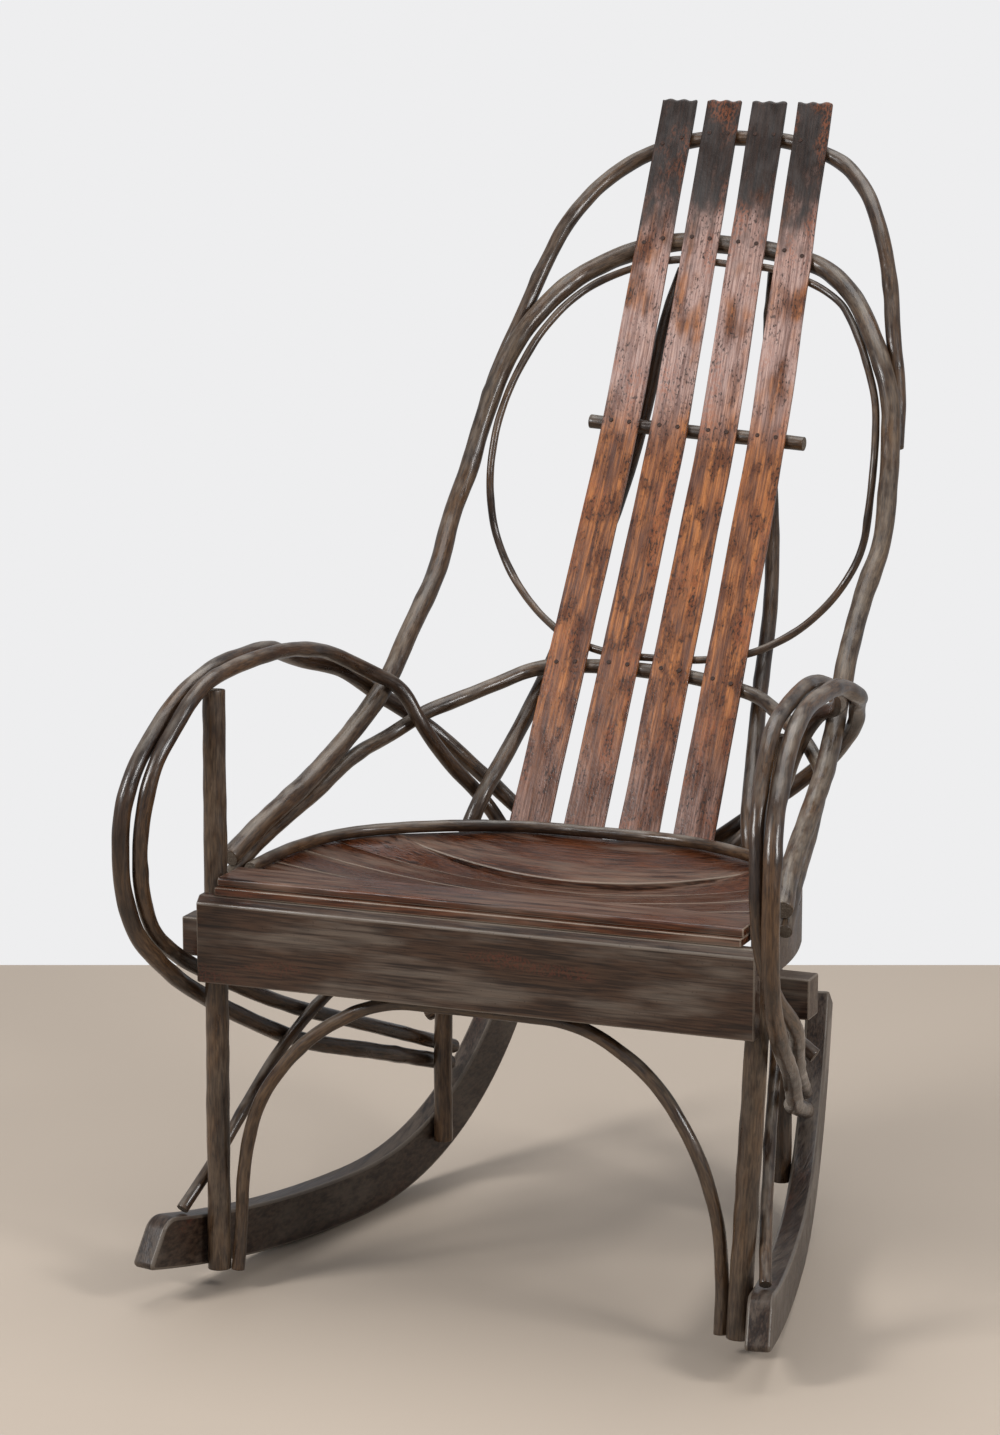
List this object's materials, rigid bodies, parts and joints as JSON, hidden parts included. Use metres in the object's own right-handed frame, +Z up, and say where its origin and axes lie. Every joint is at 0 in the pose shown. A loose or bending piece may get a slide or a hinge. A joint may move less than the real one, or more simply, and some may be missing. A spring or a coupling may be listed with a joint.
{
  "type": "rocking chair",
  "caption": "Bentwood hickory rocking chair: bark-on sapling posts, looped arms and hoop back with flat slats, dished slat seat, on curved rockers.",
  "frame": {"origin": "middle of the footprint box at floor level, where the rockers rest", "axes": "+Z up, -Y towards the front of the chair, +X towards the sitter's left"},
  "size_m": [0.649, 0.8699, 1.096],
  "materials": {
    "bark": "dark weathered bark-on hickory sapling with worn glossy ridges",
    "board_wood": "dark brown aged varnish over sawn boards, worn grey along the edges",
    "slat_wood": "red-brown varnished flat slats, darkened at the top",
    "iron": "dark rusted iron nails"
  },
  "bodies": {
    "root": {"arm_inner_left": "bark", "arm_inner_right": "bark", "arm_outer_left": "bark", "arm_outer_right": "bark", "back_rod": "bark", "back_slat_1": "slat_wood", "back_slat_2": "slat_wood", "back_slat_3": "slat_wood", "back_slat_4": "slat_wood", "cross_rail": "board_wood", "foot_arch": "bark", "front_post_left": "bark", "front_post_right": "bark", "front_rail": "board_wood", "low_arch": "bark", "main_hoop": "bark", "oval_ring": "bark", "rear_post_left": "bark", "rear_post_right": "bark", "rocker_left": "board_wood", "rocker_right": "board_wood", "seat_apron_left": "board_wood", "seat_apron_right": "board_wood", "seat_back_board": "board_wood", "seat_back_rail": "board_wood", "seat_rim": "bark", "seat_slat_1": "board_wood", "seat_slat_2": "board_wood", "seat_slat_3": "board_wood", "seat_slat_4": "board_wood", "seat_slat_5": "board_wood", "seat_strip_lower": "board_wood", "seat_strip_upper": "board_wood", "side_brace_left": "bark", "side_brace_right": "bark", "slat_nails_low_arch": "iron", "slat_nails_main_hoop": "iron", "slat_nails_rod": "iron", "slat_nails_top_hoop": "iron", "top_hoop": "bark"}
  },
  "joints": []
}
